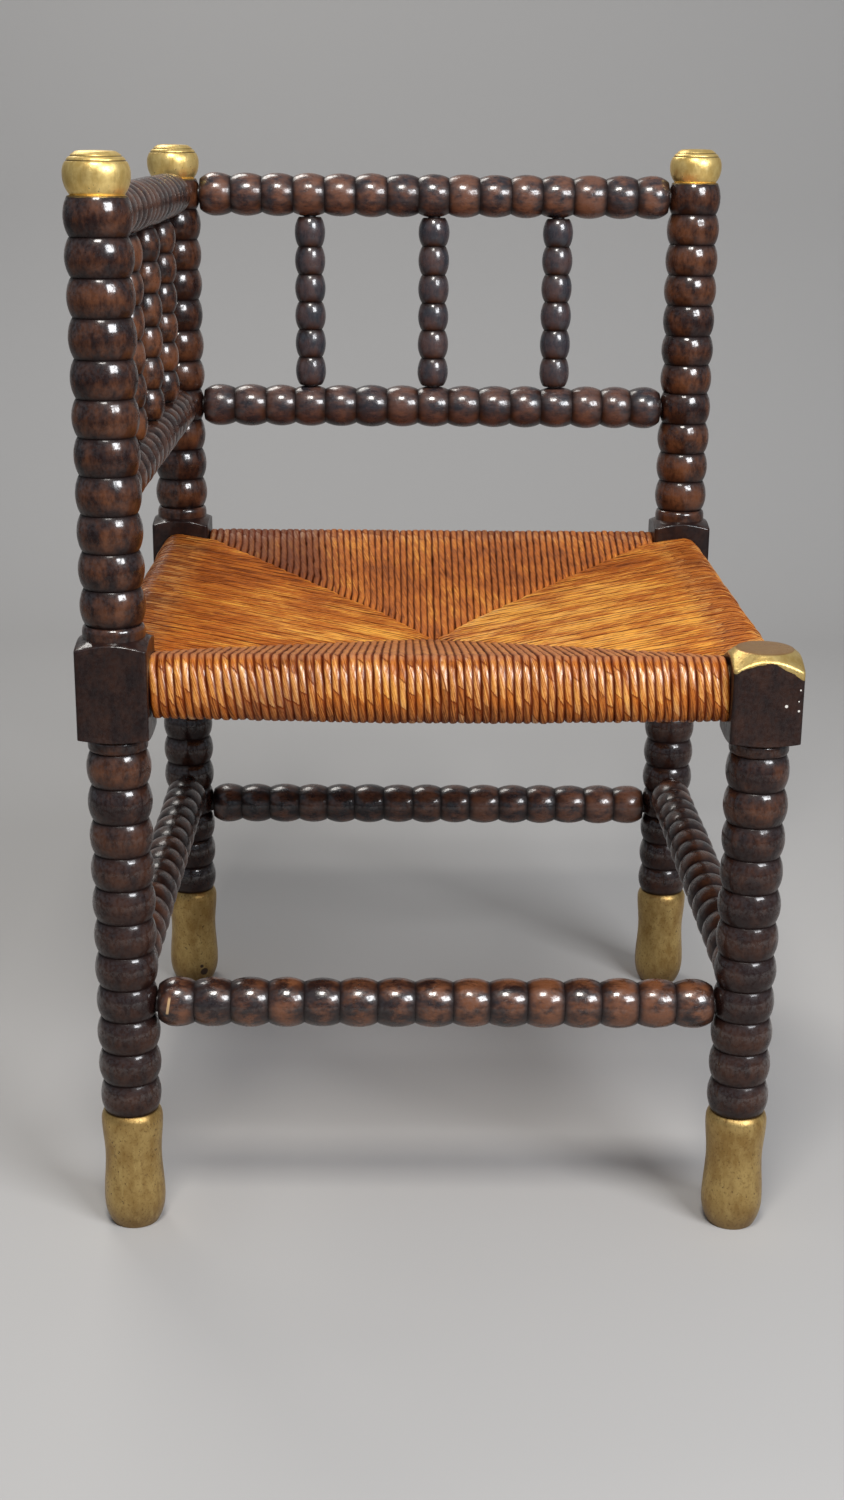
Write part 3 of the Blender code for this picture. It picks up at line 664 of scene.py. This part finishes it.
def strand_lines(hand, side):
    """Centre lines of one side's strands in its own frame: along the rail, inwards from the rail, height.
    Each comes out along the underside, goes round the rail on a superellipse of power 2.8, raked back in
    its upper part, and runs in along the top, height = top - dish * (inward / half) ** crown, to the
    diagonal, where it passes the neighbouring side by its reach and sinks over its dive. On the way in it
    leans to the middle, and at its very end it hooks. Two sine waves along it keep it from being straight."""
    start = (np.arange(STRANDS) - (STRANDS - 1) / 2) * STRAND_PITCH
    start += 0.00010 * np.clip(hand.standard_normal(STRANDS), -1.5, 1.5)
    far = (start > 0).astype(int)
    beside_middle = ease(np.abs(start), 0.0, 0.04)
    ends = ("reach", "dive", "ridge", "lean", "hook")
    reach, dive, ridge, lean, hook = (np.array(side[end])[far] for end in ends)
    top = RAIL_HALF_HEIGHT + STRAND_RADIUS + WINDING_SLACK + 0.0003 * hand.uniform(-1, 1, STRANDS)
    face = RAIL_HALF_WIDTH + STRAND_RADIUS + WINDING_SLACK + 0.0006 * hand.uniform(-1, 1, STRANDS)
    diagonal = HALF_SPACING - np.abs(start)

    # Out along the underside
    under_share = np.linspace(1.0, 0.0, UNDER_RINGS, endpoint=False)
    under_in = diagonal[:, None] * under_share
    drop = side["sag"] * np.cos(np.pi / 2 * start / HALF_SPACING) ** 2
    under_height = -top[:, None] - SEAT_UNDER_DISH * under_in / HALF_SPACING
    under_height += 0.008 * np.maximum(0, 1 - (diagonal[:, None] - under_in) / 0.010) ** 2
    under_height -= drop[:, None] * (1 - under_share) ** 2

    # Round the rail
    angle = np.linspace(-np.pi / 2, np.pi / 2, WRAP_RINGS, endpoint=False)
    wrap_in = -face[:, None] * np.cos(angle) ** (2 / WRAP_POWER)
    wrap_height = top[:, None] * np.sign(np.sin(angle)) * np.abs(np.sin(angle)) ** (2 / WRAP_POWER)
    wrap_in += side["rake"] * np.maximum(0, wrap_height - RAKE_START)
    wrap_height -= drop[:, None] * np.maximum(0, -np.sin(angle)) ** 1.5

    # In along the top
    end = np.maximum(diagonal + reach * beside_middle, 0.018)
    bend_in = side["rake"] * (top[:, None] - RAKE_START)
    top_in = bend_in + (end[:, None] - bend_in) * np.linspace(0.0, 1.0, TOP_RINGS)
    left = end[:, None] - top_in
    sink = np.maximum(0, 1 - left / np.minimum(dive, 0.7 * end)[:, None])
    swell = ridge[:, None] * ease(-left, -0.030, -0.010)
    depth = 0.004 + 0.007 * ease(np.abs(start), 0.01, 0.05)[:, None]
    top_height = top[:, None] - SEAT_DISH * (top_in / HALF_SPACING) ** PANEL_CROWN + swell - depth * sink ** 2
    curl = np.maximum(0, 1 - left / np.minimum(0.016, 0.6 * end)[:, None]) ** 2
    curl = curl * ease(np.abs(start), 0.004, 0.05)[:, None]
    steer = lean * ease(np.abs(start), 0.0, 0.10)

    # The whole strand
    inward = np.concatenate((under_in, wrap_in, top_in), axis=1)
    height = np.concatenate((under_height, wrap_height, top_height), axis=1)
    drift = np.concatenate((0 * under_in, 0 * wrap_in, steer[:, None] * top_in + hook[:, None] * curl),
                           axis=1)
    run = np.linspace(0, 1, inward.shape[1])
    wave = 0.00013 * np.sin(2 * np.pi * (run * hand.uniform(2, 5, (STRANDS, 1))
                                         + hand.random((STRANDS, 1))))
    wave += 0.00012 * np.sin(2 * np.pi * (run * hand.uniform(9, 15, (STRANDS, 1))
                                          + hand.random((STRANDS, 1))))
    slant = 0.0016 + 0.0042 * np.exp(-((start + 0.125) / 0.045) ** 2) + 0.0010 * (start > 0.08)
    upright = np.clip(height / top[:, None], -1, 1)
    upright[:, :UNDER_RINGS] = -1
    upright[:, UNDER_RINGS + WRAP_RINGS:] = 1
    along = start[:, None] + wave - np.sign(start)[:, None] * drift
    along -= side["slant"] * slant[:, None] / 2 * upright
    return np.stack((along, inward - HALF_SPACING, height), axis=-1)


def twisted_strands(lines, hand):
    """Tubes round centre lines. A strand's section is a superellipse, a little less deep than wide, with
    two leaves that turn once in a twist length, so its radius at angle a is the superellipse's times
    1 + 0.05 cos 2(a + twist) + 0.02 cos(3(a + twist) + 1), with a long and a short swell along it. Also
    gives the length along, the turn round the twist, how far each point faces outwards, and the count of
    leaves up to it, which goes up by one at each slanting leaf end, the first of them about half way up
    the outer face."""
    heading = np.gradient(lines, axis=1)
    steps = np.linalg.norm(np.diff(lines, axis=1), axis=-1)
    length = np.concatenate((np.zeros((STRANDS, 1)), np.cumsum(steps, axis=1)), axis=1)
    heading /= np.linalg.norm(heading, axis=-1, keepdims=True)
    beside = np.array([1.0, 0.0, 0.0]) - heading * heading[..., :1]
    beside /= np.linalg.norm(beside, axis=-1, keepdims=True)
    inside = np.cross(heading, beside)
    twist = 2 * np.pi * (length / (TWIST_LENGTH * hand.uniform(0.75, 1.4, (STRANDS, 1)))
                         + hand.random((STRANDS, 1)))
    angle = 2 * np.pi * np.arange(STRAND_SIDES) / STRAND_SIDES
    leaf = angle + twist[..., None]
    girth = STRAND_RADIUS * (1.12 + 0.03 * np.clip(hand.standard_normal((STRANDS, 1)), -1.5, 1.5))
    girth = girth * (1 + 0.025 * np.sin(2 * np.pi * length / 0.037 + 6.3 * hand.random((STRANDS, 1))))
    girth = girth * (1 + 0.025 * np.sin(2 * np.pi * length / 0.0135 + 6.3 * hand.random((STRANDS, 1))))
    section = np.abs(np.cos(angle)) ** STRAND_POWER + np.abs(np.sin(angle) / STRAND_DEPTH) ** STRAND_POWER
    section = section ** (-1 / STRAND_POWER)
    radius = girth[..., None] * section * (1 + 0.05 * np.cos(2 * leaf) + 0.02 * np.cos(3 * leaf + 1.0))
    rings = (lines[:, :, None]
             + (radius * np.cos(angle))[..., None] * beside[:, :, None]
             + (radius * np.sin(angle))[..., None] * inside[:, :, None])
    half_way = length[:, UNDER_RINGS + WRAP_RINGS // 2, None] - 0.003
    first_end = half_way + 0.0040 * np.clip(hand.standard_normal((STRANDS, 1)), -2, 2)
    leaf_run = LEAF_LENGTH * hand.uniform(0.8, 1.3, (STRANDS, 1))
    count = (length - first_end)[..., None] / leaf_run[..., None]
    slant = LEAF_SLANT * hand.uniform(0.6, 1.6, (STRANDS, 1, 1))
    count = count + slant * radius * np.cos(angle) / leaf_run[..., None]
    return rings, length, leaf / (2 * np.pi), -np.sin(angle), count


def placed(points, matrix):
    """Moves an array of points by a matrix."""
    turn = np.array(matrix.to_3x3())
    return points @ turn.T + np.array(matrix.translation)


RUSH_BROWN = (0.120, 0.0200, 0.0018, 1)
RUSH_ORANGE = (0.43, 0.101, 0.0085, 1)
RUSH_GOLD = (0.82, 0.365, 0.0500, 1)
RUSH_HIGHLIGHT_GOLD = (0.80, 0.380, 0.0600, 1)
RUSH_WORN = (0.480, 0.205, 0.090, 1)
RUSH_GRIME_AND_SHADE = (0.085, 0.030, 0.0220, 1)
RUSH_FLANK_SHADE = (0.170, 0.036, 0.0035, 1)
PANEL_GAP = (0.062, 0.0100, 0.0009, 1)
EDGE_GAP = (0.115, 0.0160, 0.0008, 1)
RUSH_DARKENING = 1.555


def varnished_rush(name):
    """Rush under varnish: brown, orange and gold fibres that follow the strand, a tone for each strand and
    each leaf, every other leaf darker, which also paints shade over the lower half of the outer face, fine
    cross crinkles, gold patches where sitters have polished the seat, dark varnish and painted shade in
    the gaps, painted shade on the flanks of the strands, a shadow under each slanting leaf end, dirt,
    painted shade and a painted shadow, and a dull worn band along the front. The varnish shines over the
    lightest rush, on the crowns of the strands, in streaks, and most round the edges, and a golden
    highlight is painted under its shine."""
    material, start = new_finish(name)
    place = start.node("ShaderNodeTexCoord", output="Object")
    lay = start.node("ShaderNodeUVMap", uv_map="lay")
    length = lay.part("X")
    turn = lay.part("Y")
    tone = start.trait("tone")
    outward = start.trait("outward")
    worn = start.trait("worn")
    edge = start.trait("edge")
    sat_on = start.trait("sat_on")
    grime_and_shade = start.trait("grime_and_shade")
    count = start.trait("count")
    sweep = turn * (2 * math.pi)
    around = start.node("ShaderNodeCombineXYZ", {
        0: length,
        1: start.maths("SINE", sweep, 0.0),
        2: start.maths("COSINE", sweep, 0.0),
    })
    fibres = around.noise([30.0, 2.6, 2.6], 4.0, 0.65)
    ridges = around.noise([13.0, 4.5, 4.5], 2.0)
    fine = around.noise([110.0, 9.0, 9.0], 2.0)
    number = start.maths("FLOOR", count + fine * 0.12, 0.0)
    through = count + fine * 0.12 - number
    leaf_tone = start.node("ShaderNodeTexWhiteNoise", {"W": number}, noise_dimensions="1D")
    # Every other leaf is darker; as the first leaf end lies half way up the outer face, this also paints
    # shade over the face's lower half
    darker = start.maths("MODULO", number, 2.0)
    leaf_end = through.between(0.90, 0.985) * leaf_tone.between(0.25, 0.55) * (0.35 + edge * 0.65)
    stains = place.noise([21.0, 21.0, 21.0], 5.0, 0.65).between(0.28, 0.72)
    patches = place.noise([15.0, 42.0, 42.0], 4.0, 0.62).between(0.48, 0.64)
    flecks = around.noise([85.0, 5.5, 5.5], 3.0, 0.6)
    crinkles = around.noise([330.0, 3.2, 3.2], 4.0, 0.65).between(0.50, 0.68) * (0.3 + edge * 0.7)
    polished = sat_on * (0.25 + patches * 0.75)
    light = fibres * 0.70 + ridges * 0.85 + flecks * 0.95 + fine * 0.40 + tone * 0.70 + stains * 0.36
    light = light + polished * 0.44 + leaf_tone * 0.06 - darker * (0.04 + edge * 0.11) - crinkles * 0.14
    light = light - RUSH_DARKENING
    colour = light.between(0.04, 0.46).blend(RUSH_BROWN, RUSH_ORANGE)
    colour = light.between(0.46, 0.86).blend(colour, RUSH_GOLD)
    streaks = (ridges + flecks * 0.5).between(0.60, 0.86)
    shine = (0.12 + streaks * 0.88) * outward.between(0.50, 0.82) * (1 - leaf_end) * (1 - crinkles * 0.7)
    shine = shine * (0.08 + polished * 0.40 + edge * 0.92) * (1 - darker * edge * 0.70) * (1 - worn * 0.85)
    # Painted highlight: the colour turns golden where the varnish shines
    colour = (shine * 0.60).blend(colour, RUSH_HIGHLIGHT_GOLD)
    colour = (worn * (0.35 + fine * 0.60)).blend(colour, RUSH_WORN)
    # A stain, with painted shade and a painted shadow carried in the same trait
    colour = (grime_and_shade * 0.72).blend(colour, RUSH_GRIME_AND_SHADE)
    # Painted shade on the flanks of each strand, which turn away from the light
    flank = 1 - outward.between(0.55, 0.98)
    colour = (flank * 0.45).blend(colour, RUSH_FLANK_SHADE)
    # Dark between the strands: varnish pooled in the gaps, and painted shade
    gap = 1 - (outward - edge * 0.04).between(0.56, 0.90)
    dark = start.maths("MAXIMUM", gap * (0.84 + edge * 0.10), leaf_end * 0.85)
    colour = dark.blend(colour, edge.blend(PANEL_GAP, EDGE_GAP))
    relief = ridges * 1.4 + fibres * 0.4 + flecks * 0.5 + fine * 0.25 - leaf_end * 1.5 - crinkles * 0.5
    apply_finish(material, {
        "Base Color": colour,
        "Roughness": 0.50 + fibres * 0.16,
        "Specular IOR Level": 0.10,
        "Coat Weight": shine,
        "Coat Roughness": 0.34,
        "Coat IOR": 2.0,
        "Normal": start.node("ShaderNodeBump", {"Height": relief, "Strength": 0.6, "Distance": 0.0005}),
    })
    return material


POLISHED_SPOT = (0.03, -0.06)
rush_finish = varnished_rush("varnished_rush")
# For each side, in turn from the front: how its strands end at their two diagonals, how its edge leans
# and sags, and how light, how varied and how polished by use its strands are
rush_sides = {
    "front": {"reach": (0.002, 0.001), "dive": (0.009, 0.012), "ridge": (0.0004, 0.0), "lean": (0.03, 0.03),
              "hook": (0.002, 0.002), "rake": 0.20, "sag": 0.0025, "slant": 1.0,
              "tone": 0.56, "spread": 0.05, "polish": 0.0},
    "right": {"reach": (0.008, 0.009), "dive": (0.005, 0.005), "ridge": (0.0, 0.0004), "lean": (0.0, 0.0),
              "hook": (0.0, 0.0), "rake": 0.08, "sag": 0.001, "slant": 0.3,
              "tone": 0.61, "spread": 0.12, "polish": 1.0},
    "back": {"reach": (-0.001, -0.001), "dive": (0.010, 0.010), "ridge": (0.0, 0.0), "lean": (0.026, 0.060),
             "hook": (0.0, -0.0030), "rake": 0.08, "sag": 0.002, "slant": 0.3,
             "tone": 0.44, "spread": 0.05, "polish": 0.0},
    "left": {"reach": (0.009, 0.008), "dive": (0.005, 0.005), "ridge": (0.0004, 0.0), "lean": (0.0, 0.0),
             "hook": (0.0, 0.0), "rake": 0.08, "sag": 0.001, "slant": 0.3,
             "tone": 0.46, "spread": 0.10, "polish": 1.0},
}
seat_middle = Matrix.Translation((0, 0, SEAT_MIDDLE_HEIGHT))
for quarter, (name, side) in enumerate(rush_sides.items()):
    hand = np.random.default_rng(RUSH_SEED + quarter)
    lines = strand_lines(hand, side)
    rings, length, turn, outward, count = twisted_strands(lines, hand)
    tone = side["tone"] + side["spread"] * np.clip(hand.standard_normal(STRANDS), -2, 2)
    edge = 1 - ease(lines[..., 1], 0.006 - HALF_SPACING, 0.030 - HALF_SPACING)
    facing = seat_middle @ Matrix.Rotation(math.pi / 2 * quarter, 4, "Z")
    away = np.linalg.norm(placed(lines, facing)[..., :2] - POLISHED_SPOT, axis=-1)
    sat_on = side["polish"] * (1 - edge) * (1 - ease(away, 0.08, 0.24))
    worn = np.zeros(lines.shape[:2])
    grime_and_shade = np.zeros(lines.shape[:2])
    # The back is dull all over, with a painted shadow that darkens it towards its left end. The front is worn
    # along the top, with an old stain on its face and painted shade along its bottom.
    if name == "back":
        worn[:] = 0.27
        grime_and_shade[:] = ease(lines[:, :1, 0], 0.066, 0.108) * hand.uniform(0.65, 1.0, (STRANDS, 1))
    if name == "front":
        worn = ease(lines[..., 2], 0.0156, 0.0177)
        on_top = UNDER_RINGS + WRAP_RINGS
        worn[:, on_top:] = 1 - 0.4 * ease(lines[:, on_top:, 1], -0.15, -0.02)
        grime_and_shade = 0.45 * np.exp(-((lines[..., 0] + 0.105) / 0.022) ** 4)
        grime_and_shade *= 1 - ease(lines[..., 2], -0.004, 0.012)
        grime_and_shade += 0.30 * ease(-lines[..., 2], 0.013, 0.019)
    # Each strand gets its own stretch of the patterns, and its own numbers for its leaves
    own_length = length + np.arange(STRANDS)[:, None] * 1.37
    count += 100 + 50 * np.arange(STRANDS)[:, None, None]
    traits = {"tone": tone[:, None, None], "outward": outward[None, None], "worn": worn[..., None],
              "edge": edge[..., None], "sat_on": sat_on[..., None], "grime_and_shade": grime_and_shade[..., None],
              "count": count}
    rush = skinned("rush_" + name, placed(rings, facing), traits, (own_length[..., None], turn))
    rush.data.materials.append(rush_finish)
    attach(rush, "root")
    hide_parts("rush_seat")

# Loose rush
# Dry offcuts of rush packed between the two layers of the weave, behind each rail, which keep the seat
# full and close the gaps between the strands.

PACKING_COLUMNS = 64
PACKING_ROWS = 40
PACKING_REACH = 0.177
PACKING_GAP = 0.0014
PACKING_SEED = 30
STALK_DARK = (0.16, 0.085, 0.028, 1)
STALK_PALE = (0.50, 0.36, 0.16, 1)


def packing_rings(hand):
    """One wedge of packing in the front side's frame: for each distance in from the rail, a flattened
    ring, width * sign(cos) |cos| ** 0.3 by depth * sign(sin) |sin| ** 0.5, roughened by the stalk ends."""
    inward = np.linspace(RAIL_HALF_WIDTH + 0.001, PACKING_REACH, PACKING_ROWS)
    high = RAIL_HALF_HEIGHT - SEAT_DISH * (inward / HALF_SPACING) ** PANEL_CROWN - PACKING_GAP
    low = -RAIL_HALF_HEIGHT - SEAT_UNDER_DISH * inward / HALF_SPACING + PACKING_GAP
    width = HALF_SPACING - inward - 0.022
    angle = 2 * np.pi * np.arange(PACKING_COLUMNS) / PACKING_COLUMNS
    across = np.sign(np.cos(angle)) * np.abs(np.cos(angle)) ** 0.3
    upward = np.sign(np.sin(angle)) * np.abs(np.sin(angle)) ** 0.5
    rough = 1 - 0.05 * hand.random((PACKING_ROWS, PACKING_COLUMNS))
    points = np.stack((
        width[:, None] * across * rough,
        np.broadcast_to(inward[:, None] - HALF_SPACING, rough.shape),
        (high + low)[:, None] / 2 + (high - low)[:, None] / 2 * upward * rough,
    ), axis=-1)
    return points[None, :, ::-1]


def dry_rush(name):
    """Dull straw in crossed stalks."""
    material, start = new_finish(name)
    place = start.node("ShaderNodeTexCoord", output="Object")
    stalks = place.noise([60.0, 420.0, 420.0], 3.0)
    colour = stalks.between(0.35, 0.65).blend(STALK_DARK, STALK_PALE)
    apply_finish(material, {
        "Base Color": colour,
        "Roughness": 0.75 + stalks * 0.2,
        "Normal": start.node("ShaderNodeBump", {"Height": stalks, "Strength": 0.8, "Distance": 0.001}),
    })
    return material


packing_finish = dry_rush("dry_rush")
for quarter, name in enumerate(rush_sides):
    facing = seat_middle @ Matrix.Rotation(math.pi / 2 * quarter, 4, "Z")
    rings = placed(packing_rings(np.random.default_rng(PACKING_SEED + quarter)), facing)
    packing = skinned("rush_packing_" + name, rings, {})
    packing.data.materials.append(packing_finish)
    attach(packing, "root")
    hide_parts("rush_stuffing_" + name)

# Floor, light and camera
# A pale floor that curves up into a backdrop, a soft lamp high in front, a window-like one on the right,
# a weak one high behind, and the viewpoint of the photograph.


def cove_points():
    """A floor that bends up into a wall: a profile of floor, quarter round and wall, drawn out sideways."""
    bend = np.linspace(0, np.pi / 2, 24)
    radius = 0.6
    depth = np.concatenate(([-4.0], 1.4 + radius * np.sin(bend), [1.4 + radius]))
    height = np.concatenate(([0.0], radius - radius * np.cos(bend), [4.0]))
    across = np.array([-5.0, 5.0])
    return np.stack(np.broadcast_arrays(across[None, :], depth[:, None], height[:, None]), axis=-1)


points = cove_points()
index = np.arange(points[..., 0].size).reshape(points.shape[:2])
faces = np.stack((index[:-1, 0], index[:-1, 1], index[1:, 1], index[1:, 0]), axis=-1)
cove_mesh = bpy.data.meshes.new("cove")
cove_mesh.from_pydata(points.reshape(-1, 3), [], faces.tolist())
cove_mesh.shade_smooth()
cove = bpy.data.objects.new("cove", cove_mesh)
bpy.context.scene.collection.objects.link(cove)
cove_finish = new_finish("pale_floor")[0]
apply_finish(cove_finish, {"Base Color": (0.45, 0.44, 0.43, 1), "Roughness": 0.9})
cove_mesh.materials.append(cove_finish)


def add_lamp(name, place, aim, width, height, power, colour):
    """A rectangular soft lamp that faces a point."""
    lamp = bpy.data.lights.new(name, "AREA")
    lamp.shape = "RECTANGLE"
    lamp.size = width
    lamp.size_y = height
    lamp.energy = power
    lamp.color = colour
    holder = bpy.data.objects.new(name, lamp)
    holder.location = place
    holder.rotation_mode = "QUATERNION"
    holder.rotation_quaternion = (Vector(aim) - Vector(place)).to_track_quat("-Z", "Y")
    bpy.context.scene.collection.objects.link(holder)


LAMP_AIM = (0.0, 0.0, 0.40)
add_lamp("key", (-0.15, -1.20, 2.25), LAMP_AIM, 0.55, 0.55, 29.0, (1.0, 0.97, 0.92))
add_lamp("right_window", (1.15, -1.50, 1.50), LAMP_AIM, 0.95, 0.82, 37.0, (0.95, 0.97, 1.0))
add_lamp("from_behind", (-0.70, 1.25, 2.00), LAMP_AIM, 0.80, 0.80, 13.0, (1.0, 0.97, 0.92))

world = bpy.data.worlds.new("soft_room")
world.use_nodes = True
world.node_tree.nodes["Background"].inputs["Color"].default_value = (0.82, 0.89, 1.0, 1)
world.node_tree.nodes["Background"].inputs["Strength"].default_value = 0.26
bpy.context.scene.world = world
bpy.context.scene.view_settings.view_transform = "Standard"

# The viewpoint was found from the bead grooves in the photograph: its place, its turn about the upright,
# its tilt down and its roll
FRAME_HEIGHT_PX = 1500
FOCAL_PX = 1994.7
SENSOR = 36.0
camera_place = Vector((-0.0259, -1.4171, 0.7147))
yaw, pitch, roll = -0.0124, 0.3025, -0.0091
level_right = Vector((math.cos(yaw), math.sin(yaw), 0))
level_ahead = Vector((-math.sin(yaw), math.cos(yaw), 0))
upright = Vector((0, 0, 1))
ahead = math.cos(pitch) * level_ahead - math.sin(pitch) * upright
level_up = math.sin(pitch) * level_ahead + math.cos(pitch) * upright
right = math.cos(roll) * level_right - math.sin(roll) * level_up
up = math.sin(roll) * level_right + math.cos(roll) * level_up
lens = bpy.data.cameras.new("viewpoint")
lens.sensor_width = SENSOR
lens.lens = FOCAL_PX / FRAME_HEIGHT_PX * SENSOR
camera = bpy.data.objects.new("viewpoint", lens)
camera.matrix_world = Matrix.Translation(camera_place) @ Matrix((right, up, -ahead)).transposed().to_4x4()
bpy.context.scene.collection.objects.link(camera)
bpy.context.scene.camera = camera
